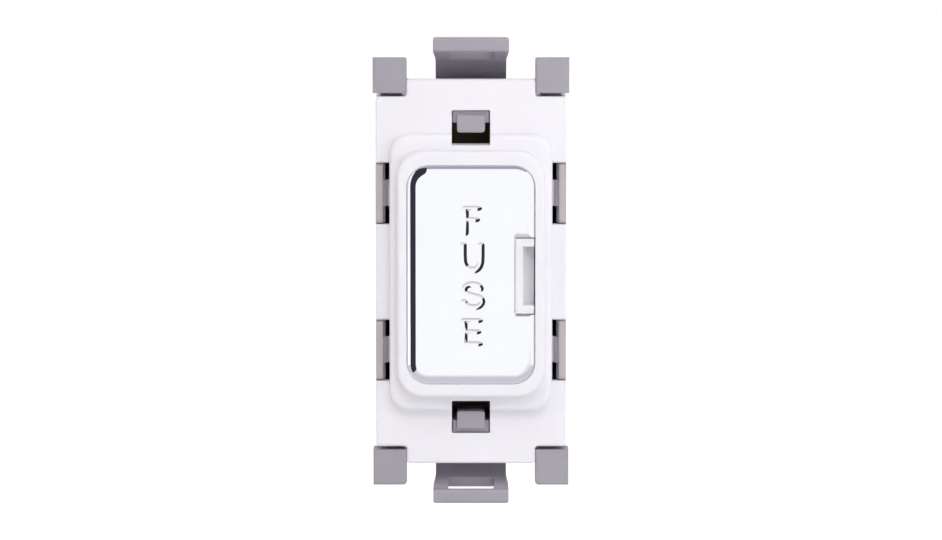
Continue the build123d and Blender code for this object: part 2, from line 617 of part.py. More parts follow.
PIECES = {
    "front_plate": front_plate(),
    "housing": housing(),
    "carrier_body": carrier_body(),
    "carrier_cover": carrier_cover(),
    "fuse_barrel": fuse_barrel(),
    "fuse_cap_upper": fuse_cap(),
    "fuse_cap_lower": lower(fuse_cap()),
    "fuse_element": fuse_element(),
    "contact_clip_upper": contact_clip(),
    "contact_clip_lower": lower(contact_clip()),
    "contact_spring_upper": contact_spring(),
    "contact_spring_lower": lower(contact_spring()),
    "terminal_block_supply": terminal_block(),
    "terminal_block_load": lower(terminal_block()),
    "terminal_screw_supply": terminal_screw(),
    "terminal_screw_load": lower(terminal_screw()),
}

os.makedirs("parts", exist_ok=True)
for name, piece in PIECES.items():
    export_step(piece, f"parts/{name}.step")
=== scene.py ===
"""Looks of the fused outlet: an engraved chromed cover, finishes for every piece, and a studio round them."""

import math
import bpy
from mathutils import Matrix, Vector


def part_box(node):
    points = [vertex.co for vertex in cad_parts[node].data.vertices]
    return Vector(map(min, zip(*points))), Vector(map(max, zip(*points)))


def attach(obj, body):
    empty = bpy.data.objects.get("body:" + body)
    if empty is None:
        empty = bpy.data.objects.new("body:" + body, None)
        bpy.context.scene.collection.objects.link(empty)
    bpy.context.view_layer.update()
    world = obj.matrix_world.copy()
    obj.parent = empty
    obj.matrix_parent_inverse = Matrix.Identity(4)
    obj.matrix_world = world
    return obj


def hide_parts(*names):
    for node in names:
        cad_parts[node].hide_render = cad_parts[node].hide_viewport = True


bl_info = {
    "name": "Fused Outlet Looks",
    "version": (1, 0, 0),
    "blender": (4, 5, 0),
    "location": "3D View > Sidebar > Fused Outlet",
    "description": "Finishes, engraved cover and studio for a fused outlet module",
    "category": "Object",
}

import bmesh
import bpy
from bpy.props import FloatProperty, FloatVectorProperty, IntProperty, PointerProperty
from mathutils import Vector

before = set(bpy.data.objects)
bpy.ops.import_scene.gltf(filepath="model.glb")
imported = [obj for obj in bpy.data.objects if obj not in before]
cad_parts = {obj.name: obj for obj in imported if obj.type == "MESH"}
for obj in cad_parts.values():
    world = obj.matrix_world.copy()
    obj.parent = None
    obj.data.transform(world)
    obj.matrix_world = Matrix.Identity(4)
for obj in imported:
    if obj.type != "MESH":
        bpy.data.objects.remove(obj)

MM = 0.001
COVER_NODE = "carrier_cover"
CARRIER_BODY = "fuse_carrier"

# The picture's size in pixels, and the scale at the front plate's front face
PICTURE_WIDTH = 942
SENSOR_WIDTH_MM = 36.0
# From the bezel's front back to the plate's flat rim, which the camera aims at
PLATE_RISE = 3.0 * MM

# Bounds of the painted light on the housing's thin snap arms: beyond the first sideways, within the second
# up or down, and ahead of the third. The painted light fades in between the two places of each pair.
PAINTED_LIGHT_ASIDE = (11.0 * MM, 11.4 * MM)
PAINTED_LIGHT_LEVEL = (18.0 * MM, 19.0 * MM)
PAINTED_LIGHT_AHEAD = (-2.4 * MM, -1.8 * MM)

# Engraved word, as strokes on the cover. Each has its width, how many times longer than round its
# last end is, and its points in millimetres from the cover's centre, right then up. Straight strokes
# run from point to point, and curved ones pass smoothly through theirs.
STRAIGHT_STROKES = (
    (0.90, 1.0, ((-0.70, 5.40), (-0.70, 8.30))),
    (0.70, 2.1, ((-0.72, 8.44), (0.68, 8.44))),
    (0.70, 2.1, ((-0.72, 7.00), (0.43, 7.00))),
    (0.90, 1.0, ((-0.86, -8.60), (-0.86, -5.80))),
    (0.70, 2.1, ((-0.90, -5.74), (0.80, -5.74))),
    (0.70, 2.1, ((-0.90, -7.17), (0.61, -7.17))),
    (0.70, 2.1, ((-0.90, -8.69), (0.80, -8.69))),
)
CURVED_STROKES = (
    (0.92, 1.0, ((-0.97, 3.74), (-0.96, 2.30), (-0.84, 1.42), (-0.38, 0.83), (0.24, 0.66), (0.80, 0.83),
                 (1.18, 1.42), (1.26, 2.30), (1.27, 3.74))),
    (0.80, 1.0, ((1.22, -1.70), (0.92, -1.30), (0.26, -1.14), (-0.46, -1.28), (-0.83, -1.78),
                 (-0.56, -2.30), (0.27, -2.58), (1.10, -2.84), (1.42, -3.36), (1.06, -3.88),
                 (0.28, -4.03), (-0.46, -3.86), (-0.88, -3.38))),
)
# Steps from the middle of a groove to its side, and round its end
ARC_STEPS = 8
END_STEPS = 48

# Cards that only polished surfaces mirror. Those on the floor have their left, right, front and back,
# and lie this far over it.
CARD_LIFT = 0.001
DARK_CARD = (0.034, 0.032, 0.049)
LIGHT_CARD = (1.005, 1.01, 1.02)
FLOOR_CARDS = (
    # The three grey cards under and before the object are painted shadow: in what polished surfaces mirror,
    # they stand in for the floor's shade under the object, darkest right beneath it and lighter towards the
    # front
    ("floor_shadow_card", -0.16, 0.16, -0.095, 0.10, (0.615, 0.60, 0.665)),
    ("middle_floor_shadow_card", -0.16, 0.16, -0.15, -0.095, (0.74, 0.73, 0.78)),
    ("front_floor_shadow_card", -0.16, 0.16, -0.25, -0.15, (0.85, 0.845, 0.875)),
    ("front_card", -1.5, 1.5, -3.9, -0.25, LIGHT_CARD),
    ("right_card", 0.16, 1.5, -0.25, 0.5, LIGHT_CARD),
)
# Lamps aimed at the module's centre: place, size, watts and colour
LAMPS = (
    ("key_lamp", (0.1, -0.6, 0.7), (0.6, 0.6), 3.4, (1.0, 1.0, 1.0)),
    ("fill_lamp", (0.17, -0.13, 0.06), (0.12, 0.12), 0.10, (1.0, 1.0, 1.0)),
    ("side_lamp", (-0.7, -0.3, 0.3), (0.6, 0.6), 1.2, (1.0, 0.93, 0.84)),
    ("front_lamp", (0.15, -0.6, 0.0), (0.5, 0.09), 0.45, (1.0, 1.0, 1.0)),
)


# Sizes and colours that a user would change

class StudioSettings(bpy.types.PropertyGroup):
    """Camera, floor and the even light."""

    camera_distance: FloatProperty(name="Camera Distance", unit="LENGTH", default=0.7,
                                   description="From the camera to the front plate's front face")
    camera_elevation: FloatProperty(name="Camera Elevation", subtype="ANGLE", default=math.radians(7.0),
                                    description="How far the camera looks down on the front")
    pixel_size: FloatProperty(name="Pixel Size", unit="LENGTH", default=0.12605 * MM, precision=8,
                              description="Width that one pixel covers at the front plate")
    aim_right: FloatProperty(name="Aim Right", unit="LENGTH", default=0.01 * MM, precision=6,
                             description="Sideways place of the picture's centre")
    aim_up: FloatProperty(name="Aim Up", unit="LENGTH", default=0.28 * MM, precision=6,
                          description="Height of the picture's centre")
    floor_drop: FloatProperty(name="Floor Drop", unit="LENGTH", default=0.052,
                              description="From the module's centre down to the floor")
    floor_colour: FloatVectorProperty(name="Floor Colour", subtype="COLOR", size=3,
                                      default=(0.86, 0.86, 0.87), description="Pale studio floor")
    floor_glow: FloatProperty(name="Floor Glow", default=0.55,
                              description="Light added to the floor where it is seen directly")
    ambient: FloatProperty(name="Ambient Light", default=0.55,
                           description="Strength of the even light all round")
    ambient_ahead: FloatProperty(name="Ambient Light Ahead", default=0.05,
                                 description="Strength of the even light straight ahead of the front plate")


class PlasticSettings(bpy.types.PropertyGroup):
    """Colours of the mouldings, and the painted light on the housing's snap arms."""

    white: FloatVectorProperty(name="Plate White", subtype="COLOR", size=3, default=(0.86, 0.845, 0.885),
                               description="White moulding of the front plate")
    carrier: FloatVectorProperty(name="Carrier White", subtype="COLOR", size=3, default=(0.86, 0.845, 0.875),
                                 description="White moulding of the carrier")
    grey: FloatVectorProperty(name="Housing Grey", subtype="COLOR", size=3, default=(0.385, 0.361, 0.41),
                              description="Grey moulding of the housing")
    # Painted light: a lighter, warmer colour that stands in for the light falling on and through the
    # housing's thin snap arms
    arm_painted_light: FloatVectorProperty(name="Painted Light On Arms", subtype="COLOR", size=3, default=(0.52, 0.455, 0.475),
                                   description="Housing's snap arms beside the plate")
    ceramic: FloatVectorProperty(name="Ceramic", subtype="COLOR", size=3, default=(0.78, 0.74, 0.67),
                                 description="Fuse barrel")
    gloss: FloatProperty(name="Plastic Roughness", subtype="FACTOR", min=0, max=1, default=0.36,
                         description="Mean roughness of the mouldings")


class MetalSettings(bpy.types.PropertyGroup):
    """Colours of the metals, with painted shade in the terminal blocks' dark brass."""

    chrome: FloatVectorProperty(name="Chrome", subtype="COLOR", size=3, default=(0.95, 0.955, 0.975),
                                description="Bright plating of the cover")
    nickel: FloatVectorProperty(name="Cap Plating", subtype="COLOR", size=3, default=(0.72, 0.69, 0.64),
                                description="Plating of the fuse caps")
    brass: FloatVectorProperty(name="Brass", subtype="COLOR", size=3, default=(0.72, 0.53, 0.24),
                               description="Contacts and screws")
    # Painted shade: the terminal blocks' brass is far darker than the contacts' brass, standing in for the
    # shade deep in the housing behind the windows
    terminal: FloatVectorProperty(name="Brass Darkened By Painted Shade", subtype="COLOR", size=3, default=(0.20, 0.155, 0.09),
                                  description="Terminal blocks")
    steel: FloatVectorProperty(name="Spring Steel", subtype="COLOR", size=3, default=(0.50, 0.50, 0.52),
                               description="Springs round the contacts")
    wire: FloatVectorProperty(name="Fuse Wire", subtype="COLOR", size=3, default=(0.78, 0.76, 0.72),
                              description="Wire inside the fuse")


class CoverSettings(bpy.types.PropertyGroup):
    """Shape of the engraved cover."""

    corner: FloatProperty(name="Corner Radius", unit="LENGTH", default=2.65 * MM, precision=5,
                          description="Radius of the cover's four corners")
    edge: FloatProperty(name="Edge Width", unit="LENGTH", default=1.16 * MM, precision=5,
                        description="Width of the rounding between the face and the sides")
    edge_turn: FloatProperty(name="Edge Turn", subtype="ANGLE", default=math.radians(36.0),
                             description="How far the rounding turns before it meets the side")
    grow: FloatProperty(name="Fit", unit="LENGTH", default=0.055 * MM, precision=6,
                        description="How much fuller the cover is than its plain stand-in, all round")
    face: FloatProperty(name="Face Thickness", unit="LENGTH", default=1.2 * MM, precision=5,
                        description="Thickness behind the face")
    wall: FloatProperty(name="Wall", unit="LENGTH", default=0.7 * MM, precision=5,
                        description="Thickness of the sides")
    notch_width: FloatProperty(name="Notch Width", unit="LENGTH", default=2.50 * MM, precision=5,
                               description="How far the lever notch cuts in from the right")
    notch_top: FloatProperty(name="Notch Top", unit="LENGTH", default=4.74 * MM, precision=5,
                             description="From the cover's middle up to the notch's top")
    notch_bottom: FloatProperty(name="Notch Bottom", unit="LENGTH", default=-5.02 * MM, precision=5,
                                description="From the cover's middle down to the notch's bottom")
    notch_top_lip: FloatProperty(name="Notch Top Lip", unit="LENGTH", default=0.70 * MM, precision=5,
                                 description="Width of the rounding along the notch's top")
    notch_bottom_lip: FloatProperty(name="Notch Bottom Lip", unit="LENGTH", default=0.40 * MM, precision=5,
                                    description="Width of the rounding along the notch's bottom")
    notch_side_lip: FloatProperty(name="Notch Side Lip", unit="LENGTH", default=0.20 * MM, precision=5,
                                  description="Width of the rounding along the notch's left side")
    notch_lip_depth: FloatProperty(name="Notch Lip Depth", unit="LENGTH", default=0.20 * MM, precision=5,
                                   description="How deep the rounding round the notch goes")
    groove_depth: FloatProperty(name="Groove Depth", unit="LENGTH", default=0.07 * MM, precision=5,
                                description="Depth of the engraved strokes")
    smoothness: IntProperty(name="Smoothness", min=4, max=32, default=16,
                            description="Steps round a rounded edge or corner")


# Effects that several materials share

def new_group(name, inputs, outputs):
    """An empty effect with named inputs and outputs."""
    group = bpy.data.node_groups.new(name, "ShaderNodeTree")
    for label, kind, default in inputs:
        socket = group.interface.new_socket(name=label, in_out="INPUT", socket_type=kind)
        socket.default_value = default
    for label, kind in outputs:
        group.interface.new_socket(name=label, in_out="OUTPUT", socket_type=kind)
    return group, group.nodes.new("NodeGroupInput"), group.nodes.new("NodeGroupOutput")


def spread(nodes, links, value, low, high, to_low=0.0, to_high=1.0):
    """Maps a value's range onto another and clamps it."""
    node = nodes.new("ShaderNodeMapRange")
    for label, number in (("From Min", low), ("From Max", high), ("To Min", to_low), ("To Max", to_high)):
        node.inputs[label].default_value = number
    links.new(value, node.inputs["Value"])
    return node


def math_node(nodes, links, operation, first, second):
    """Arithmetic on two values, each a number or another node's output."""
    node = nodes.new("ShaderNodeMath")
    node.operation = operation
    for socket, value in zip(node.inputs, (first, second)):
        if hasattr(value, "links"):
            links.new(value, socket)
        else:
            socket.default_value = value
    return node.outputs[0]


def tone_drift_group():
    """Colour that drifts a little over the surface."""
    group, start, end = new_group(
        "Tone Drift",
        (("Colour", "NodeSocketColor", (0.8, 0.8, 0.8, 1)), ("Scale", "NodeSocketFloat", 120.0),
         ("Amount", "NodeSocketFloat", 0.03)),
        (("Colour", "NodeSocketColor"), ("Mask", "NodeSocketFloat")))
    nodes, links = group.nodes, group.links
    place = nodes.new("ShaderNodeTexCoord")
    cloud = nodes.new("ShaderNodeTexNoise")
    cloud.inputs["Detail"].default_value = 4.0
    links.new(place.outputs["Object"], cloud.inputs["Vector"])
    links.new(start.outputs["Scale"], cloud.inputs["Scale"])
    mask = spread(nodes, links, cloud.outputs["Fac"], 0.3, 0.7)
    share = math_node(nodes, links, "MULTIPLY", mask.outputs[0], start.outputs["Amount"])
    keep = math_node(nodes, links, "SUBTRACT", 1.0, share)
    tint = nodes.new("ShaderNodeVectorMath")
    tint.operation = "SCALE"
    links.new(start.outputs["Colour"], tint.inputs[0])
    links.new(keep, tint.inputs["Scale"])
    links.new(tint.outputs[0], end.inputs["Colour"])
    links.new(mask.outputs[0], end.inputs["Mask"])
    return group


def surface_grain_group():
    """Fine texture of a moulded or cast surface: roughness that varies, and a height."""
    group, start, end = new_group(
        "Surface Grain",
        (("Scale", "NodeSocketFloat", 2500.0), ("Roughness", "NodeSocketFloat", 0.4),
         ("Variation", "NodeSocketFloat", 0.06)),
        (("Roughness", "NodeSocketFloat"), ("Height", "NodeSocketFloat")))
    nodes, links = group.nodes, group.links
    place = nodes.new("ShaderNodeTexCoord")
    fine = nodes.new("ShaderNodeTexNoise")
    fine.inputs["Detail"].default_value = 2.0
    links.new(place.outputs["Object"], fine.inputs["Vector"])
    links.new(start.outputs["Scale"], fine.inputs["Scale"])
    broad = nodes.new("ShaderNodeTexNoise")
    for label, number in (("Scale", 260.0), ("Detail", 3.0), ("Roughness", 0.55)):
        broad.inputs[label].default_value = number
    links.new(place.outputs["Object"], broad.inputs["Vector"])
    swing = math_node(nodes, links, "SUBTRACT", broad.outputs["Fac"], 0.5)
    swing = math_node(nodes, links, "MULTIPLY", swing, start.outputs["Variation"])
    swing = math_node(nodes, links, "MULTIPLY", swing, 2.0)
    rough = math_node(nodes, links, "ADD", start.outputs["Roughness"], swing)
    links.new(rough, end.inputs["Roughness"])
    links.new(fine.outputs["Fac"], end.inputs["Height"])
    return group


def fine_scratches_group():
    """Fine rubbing marks along one direction."""
    group, start, end = new_group(
        "Fine Scratches",
        (("Scale", "NodeSocketFloat", 900.0), ("Stretch", "NodeSocketVector", (1.0, 1.0, 0.04)),
         ("Amount", "NodeSocketFloat", 0.5)),
        (("Mask", "NodeSocketFloat"), ("Height", "NodeSocketFloat")))
    nodes, links = group.nodes, group.links
    place = nodes.new("ShaderNodeTexCoord")
    pull = nodes.new("ShaderNodeVectorMath")
    pull.operation = "MULTIPLY"
    links.new(place.outputs["Object"], pull.inputs[0])
    links.new(start.outputs["Stretch"], pull.inputs[1])
    lines = nodes.new("ShaderNodeTexNoise")
    lines.inputs["Detail"].default_value = 5.0
    links.new(pull.outputs[0], lines.inputs["Vector"])
    links.new(start.outputs["Scale"], lines.inputs["Scale"])
    mask = spread(nodes, links, lines.outputs["Fac"], 0.56, 0.66)
    result = math_node(nodes, links, "MULTIPLY", mask.outputs[0], start.outputs["Amount"])
    links.new(result, end.inputs["Mask"])
    links.new(lines.outputs["Fac"], end.inputs["Height"])
    return group


GROUP_MAKERS = {
    "Tone Drift": tone_drift_group,
    "Surface Grain": surface_grain_group,
    "Fine Scratches": fine_scratches_group,
}


def effect(material, name, **values):
    """Places a shared effect in a material with its own values."""
    group = bpy.data.node_groups.get(name) or GROUP_MAKERS[name]()
    node = material.node_tree.nodes.new("ShaderNodeGroup")
    node.node_tree = group
    for label, value in values.items():
        node.inputs[label].default_value = value
    return node


def empty_material(name):
    """A material with only its main shader."""
    material = bpy.data.materials.new(name)
    material.use_nodes = True
    nodes = material.node_tree.nodes
    return material, nodes, material.node_tree.links, nodes["Principled BSDF"]


def add_bump(material, height, strength, distance):
    """A bump that feeds the shader's normal."""
    nodes, links = material.node_tree.nodes, material.node_tree.links
    bump = nodes.new("ShaderNodeBump")
    bump.inputs["Strength"].default_value = strength
    bump.inputs["Distance"].default_value = distance
    links.new(height, bump.inputs["Height"])
    links.new(bump.outputs[0], nodes["Principled BSDF"].inputs["Normal"])
    return bump


def moulded(name, colour, roughness, bump=0.12, drift=0.03, glow=0.0, soft_edge=0.0):
    """Moulded plastic or ceramic. Sharp edges can be shaded as if they were rounded."""
    material, nodes, links, shader = empty_material(name)
    tone = effect(material, "Tone Drift", Colour=(*colour, 1.0), Scale=140.0, Amount=drift)
    grain = effect(material, "Surface Grain", Scale=2600.0, Roughness=roughness, Variation=0.06)
    links.new(tone.outputs["Colour"], shader.inputs["Base Color"])
    links.new(grain.outputs["Roughness"], shader.inputs["Roughness"])
    texture = add_bump(material, grain.outputs["Height"], bump, 0.01 * MM)
    if soft_edge:
        soft = nodes.new("ShaderNodeBevel")
        soft.samples = 6
        soft.inputs["Radius"].default_value = soft_edge
        links.new(soft.outputs[0], texture.inputs["Normal"])
    shader.inputs["IOR"].default_value = 1.49
    if glow:
        shader.inputs["Subsurface Weight"].default_value = glow
        shader.inputs["Subsurface Radius"].default_value = (1.0, 0.9, 0.8)
        shader.inputs["Subsurface Scale"].default_value = 0.4 * MM
    return material


def paint_light_on_arms(material, colour):
    """Paints light on the thin snap arms beside the plate: a lighter, warmer colour by place stands in for
    the light that falls on them and shines through the thin plastic.
    """
    nodes, links = material.node_tree.nodes, material.node_tree.links
    place = nodes.new("ShaderNodeTexCoord")
    axes = nodes.new("ShaderNodeSeparateXYZ")
    links.new(place.outputs["Object"], axes.inputs[0])
    sideways = math_node(nodes, links, "ABSOLUTE", axes.outputs["X"], 0.0)
    up_or_down = math_node(nodes, links, "ABSOLUTE", axes.outputs["Z"], 0.0)
    aside = spread(nodes, links, sideways, *PAINTED_LIGHT_ASIDE)
    level = spread(nodes, links, up_or_down, *PAINTED_LIGHT_LEVEL, 1.0, 0.0)
    ahead = spread(nodes, links, axes.outputs["Y"], *PAINTED_LIGHT_AHEAD, 1.0, 0.0)
    # Where the painted light lies: on the arms, fading in at the bounds
    mask = math_node(nodes, links, "MULTIPLY", aside.outputs[0], level.outputs[0])
    mask = math_node(nodes, links, "MULTIPLY", mask, ahead.outputs[0])
    base = nodes["Principled BSDF"].inputs["Base Color"]
    mix = nodes.new("ShaderNodeMix")
    mix.data_type = "RGBA"
    # A colour mix has its factor first, its two colours at 6 and 7, and its result at 2
    links.new(mask, mix.inputs[0])
    links.new(base.links[0].from_socket, mix.inputs[6])
    mix.inputs[7].default_value = (*colour, 1.0)
    links.new(mix.outputs[2], base)


def metal(name, colour, roughness, stretch, mark=0.5, drift=0.05, bump=0.1, variation=0.05):
    """Bare or plated metal with rubbing marks."""
    material, nodes, links, shader = empty_material(name)
    tone = effect(material, "Tone Drift", Colour=(*colour, 1.0), Scale=220.0, Amount=drift)
    grain = effect(material, "Surface Grain", Scale=1800.0, Roughness=roughness, Variation=variation)
    marks = effect(material, "Fine Scratches", Scale=1100.0, Stretch=stretch, Amount=mark)
    extra = math_node(nodes, links, "MULTIPLY", marks.outputs["Mask"], 0.12)
    rough = math_node(nodes, links, "ADD", grain.outputs["Roughness"], extra)
    links.new(tone.outputs["Colour"], shader.inputs["Base Color"])
    links.new(rough, shader.inputs["Roughness"])
    shader.inputs["Metallic"].default_value = 1.0
    add_bump(material, marks.outputs["Height"], bump, 0.01 * MM)
    return material


def bare_material(name):
    """A material with nothing in it yet."""
    material = bpy.data.materials.new(name)
    material.use_nodes = True
    material.node_tree.nodes.clear()
    return material, material.node_tree.nodes, material.node_tree.links


def dress(node, material):
    """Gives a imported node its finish."""
    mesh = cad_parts[node].data
    for index in range(len(mesh.materials)):
        mesh.materials[index] = material
    if not mesh.materials:
        mesh.materials.append(material)


# Shape of the cover

def rounded_loop(half_width, half_height, radius, steps):
    """Points round a rectangle with rounded corners, in X and Z."""
    points = []
    for sign_x, sign_z, start in ((1, 1, 0), (-1, 1, 90), (-1, -1, 180), (1, -1, 270)):
        for step in range(steps + 1):
            angle = math.radians(start + 90 * step / steps)
            points.append((sign_x * (half_width - radius) + radius * math.cos(angle),
                           sign_z * (half_height - radius) + radius * math.sin(angle)))
    return points


def join_rings(bm, rings):
    """Joins neighbouring rings of the same number of points with faces."""
    for lower, upper in zip(rings, rings[1:]):
        count = len(lower)
        for index in range(count):
            after = (index + 1) % count
            bm.faces.new((lower[index], lower[after], upper[after], upper[index]))


def join_strips(bm, rows):
    """Joins neighbouring open rows of the same number of points with faces."""
    for lower, upper in zip(rows, rows[1:]):
        for index in range(len(lower) - 1):
            bm.faces.new((lower[index], lower[index + 1], upper[index + 1], upper[index]))


def object_from(bm, name):
    """An object in the scene with the mesh that was built."""
    mesh = bpy.data.meshes.new(name)
    bm.to_mesh(mesh)
    bm.free()
    made = bpy.data.objects.new(name, mesh)
    bpy.context.scene.collection.objects.link(made)
    return made


def solid_from_rings(name, loops):
    """A closed solid through a row of loops, each a list of points and a place along Y."""
    bm = bmesh.new()
    rings = [[bm.verts.new((x, y, z)) for x, z in points] for points, y in loops]
    join_rings(bm, rings)
    bm.faces.new(rings[0])
    bm.faces.new(rings[-1])
    bmesh.ops.recalc_face_normals(bm, faces=bm.faces)
    return object_from(bm, name)


def cover_form(settings, low, high):
    """The cover before it is notched and engraved: a rounded cap, hollow behind."""
    half_width = (high.x - low.x) / 2 + settings.grow
    half_height = (high.z - low.z) / 2 + settings.grow
    steps = settings.smoothness
    radius = settings.edge / math.sin(settings.edge_turn)
    back_edge = 0.08 * MM
    profile = []
    for step in range(steps + 1):
        angle = settings.edge_turn * step / steps
        profile.append((settings.edge - radius * math.sin(angle), low.y + radius * (1 - math.cos(angle))))
    profile += [(0, high.y - back_edge), (back_edge, high.y), (settings.wall, high.y),
                (settings.wall, low.y + settings.face)]
    loops = []
    for inset, place in profile:
        loop = rounded_loop(half_width - inset, half_height - inset, settings.corner - inset, steps)
        loops.append((loop, place))
    return solid_from_rings("carrier_cover_engraved", loops)


def notch_cutter(settings, low, high):
    """What the notch takes away, flared at the front so that its mouth is rounded."""
    reach, corner, turn, steps = 1.0 * MM, 0.35 * MM, math.radians(60), settings.smoothness
    middle = (low.z + high.z) / 2
    inner, outer = high.x - settings.notch_width, high.x + reach

    def loop(share, place):
        left = inner - share * settings.notch_side_lip
        top = middle + settings.notch_top + share * settings.notch_top_lip
        bottom = middle + settings.notch_bottom - share * settings.notch_bottom_lip
        radius = corner + share * settings.notch_side_lip
        points = rounded_loop((outer - left) / 2, (top - bottom) / 2, radius, steps)
        return [(x + (left + outer) / 2, z + (top + bottom) / 2) for x, z in points], place

    loops = [loop(1, low.y - reach)]
    for step in range(steps + 1):
        angle = turn * step / steps
        sunk = settings.notch_lip_depth * (1 - math.cos(angle)) / (1 - math.cos(turn))
        loops.append(loop(1 - math.sin(angle) / math.sin(turn), low.y + sunk))
    loops.append(loop(0, high.y + reach))
    return solid_from_rings("notch_cutter", loops)


def smooth_line(points, steps=8):
    """Places along a curve that passes smoothly through the points."""
    padded = [2 * points[0] - points[1], *points, 2 * points[-1] - points[-2]]
    places = []
    for index in range(1, len(padded) - 2):
        before, start, end, after = padded[index - 1:index + 3]
        for step in range(steps):
            share = step / steps
            bend = 2 * before - 5 * start + 4 * end - after
            twist = 3 * start - before - 3 * end + after
            places.append(start + 0.5 * ((end - before) * share + bend * share ** 2 + twist * share ** 3))
    return places + [points[-1]]


def add_groove(bm, places, radius, turn, centre_y):
    """Adds a lens-shaped cutter along a line, closed in front of the face."""
    rows = []
    for index, place in enumerate(places):
        along = (places[min(index + 1, len(places) - 1)] - places[max(index - 1, 0)]).normalized()
        across = Vector((-along.y, along.x))
        row = []
        for step in range(2 * ARC_STEPS + 1):
            angle = turn * (step / ARC_STEPS - 1)
            x, z = place + across * radius * math.sin(angle)
            row.append(bm.verts.new((x, centre_y + radius * math.cos(angle), z)))
        rows.append(row)
    join_strips(bm, rows)
    for first, second in zip(rows, rows[1:]):
        bm.faces.new((first[0], second[0], second[-1], first[-1]))
    bm.faces.new(rows[0])
    bm.faces.new(rows[-1])


def add_dimple(bm, place, stretch, radius, turn, centre_y):
    """Adds the end of a groove, round or stretched sideways."""
    tip = bm.verts.new((place.x, centre_y + radius, place.y))
    rings = []
    for step in range(1, ARC_STEPS + 1):
        angle = turn * step / ARC_STEPS
        ring = []
        for index in range(END_STEPS):
            bearing = 2 * math.pi * index / END_STEPS
            ring.append(bm.verts.new((place.x + stretch * radius * math.sin(angle) * math.cos(bearing),
                                      centre_y + radius * math.cos(angle),
                                      place.y + radius * math.sin(angle) * math.sin(bearing))))
        rings.append(ring)
    for index in range(END_STEPS):
        bm.faces.new((tip, rings[0][index], rings[0][(index + 1) % END_STEPS]))
    join_rings(bm, rings)
    bm.faces.new(rings[-1])


def cut_away(piece, cutter, inner_overlaps=False):
    """Takes the cutter's shape out of the piece and removes the cutter."""
    cut = piece.modifiers.new("Cut", "BOOLEAN")
    cut.operation = "DIFFERENCE"
    cut.solver = "EXACT"
    cut.use_self = inner_overlaps
    cut.object = cutter
    bpy.context.view_layer.update()
    graph = bpy.context.evaluated_depsgraph_get()
    mesh = bpy.data.meshes.new_from_object(piece.evaluated_get(graph))
    piece.modifiers.clear()
    piece.data = mesh
    bpy.data.objects.remove(cutter)


def engrave(piece, settings, low, high):
    """Cuts the word's strokes, each as a round-ended groove."""
    bm = bmesh.new()
    middle = Vector(((low.x + high.x) / 2, (low.z + high.z) / 2))
    depth = settings.groove_depth
    for strokes, curved in ((STRAIGHT_STROKES, False), (CURVED_STROKES, True)):
        for width, last_stretch, points in strokes:
            half = width * MM / 2
            radius = (half * half + depth * depth) / (2 * depth)
            # The cutter turns a little past the face, so that it comes out in front of it
            turn = math.asin(half / radius) + math.radians(5)
            places = [Vector(point) * MM + middle for point in points]
            centre_y = low.y + depth - radius
            add_groove(bm, smooth_line(places) if curved else places, radius, turn, centre_y)
            for place, stretch in ((places[0], 1.0), (places[-1], last_stretch)):
                add_dimple(bm, place, stretch, radius, turn, centre_y)
    bmesh.ops.recalc_face_normals(bm, faces=bm.faces)
    cut_away(piece, object_from(bm, "strokes"), inner_overlaps=True)


def smooth_shading(piece, sharp_degrees):
    """Smooth faces with sharp edges where they meet steeply, and flat faces kept flat."""
    mesh = piece.data
    for polygon in mesh.polygons:
        polygon.use_smooth = True
    mesh.set_sharp_from_angle(angle=math.radians(sharp_degrees))
    weight = piece.modifiers.new("Face Weights", "WEIGHTED_NORMAL")
    weight.mode = "FACE_AREA"
    weight.weight = 100
    weight.keep_sharp = True


# Operators, one for each piece or group of like pieces

class FUSEDOUTLET_OT_front_plate(bpy.types.Operator):
    """Finish the white front plate"""
    bl_idname = "fused_outlet.front_plate"
    bl_label = "Front Plate"

    def execute(self, context):
        plastic = context.scene.outlet_plastic
        dress("front_plate", moulded("White Moulding", plastic.white, plastic.gloss, glow=0.1))
        return {"FINISHED"}


class FUSEDOUTLET_OT_housing(bpy.types.Operator):
    """Finish the grey housing"""
    bl_idname = "fused_outlet.housing"
    bl_label = "Housing"

    def execute(self, context):
        plastic = context.scene.outlet_plastic
        grey = moulded("Grey Moulding", plastic.grey, plastic.gloss + 0.02, drift=0.06, bump=0.2, glow=0.3,
                       soft_edge=0.25 * MM)
        # The thin snap arms beside the plate get painted light, a lighter and warmer colour set by place
        paint_light_on_arms(grey, plastic.arm_painted_light)
        dress("housing", grey)
        return {"FINISHED"}


class FUSEDOUTLET_OT_carrier(bpy.types.Operator):
    """Finish the carrier's white moulding"""
    bl_idname = "fused_outlet.carrier"
    bl_label = "Carrier"

    def execute(self, context):
        plastic = context.scene.outlet_plastic
        dress("carrier_body", moulded("Carrier White", plastic.carrier, plastic.gloss, glow=0.1))
        return {"FINISHED"}


class FUSEDOUTLET_OT_cover(bpy.types.Operator):
    """Build the chromed cover with its notch and engraved word"""
    bl_idname = "fused_outlet.cover"
    bl_label = "Chromed Cover"

    def execute(self, context):
        settings = context.scene.outlet_cover
        metals = context.scene.outlet_metal
        low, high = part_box(COVER_NODE)
        piece = cover_form(settings, low, high)
        cut_away(piece, notch_cutter(settings, low, high))
        engrave(piece, settings, low, high)
        smooth_shading(piece, sharp_degrees=12)
        chrome = metal("Chromed Cover", metals.chrome, 0.045, (1.0, 1.0, 0.05), mark=0.25, drift=0.015,
                       bump=0.02, variation=0.015)
        piece.data.materials.clear()
        piece.data.materials.append(chrome)
        dress(COVER_NODE, chrome)
        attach(piece, CARRIER_BODY)
        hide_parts(COVER_NODE)
        return {"FINISHED"}


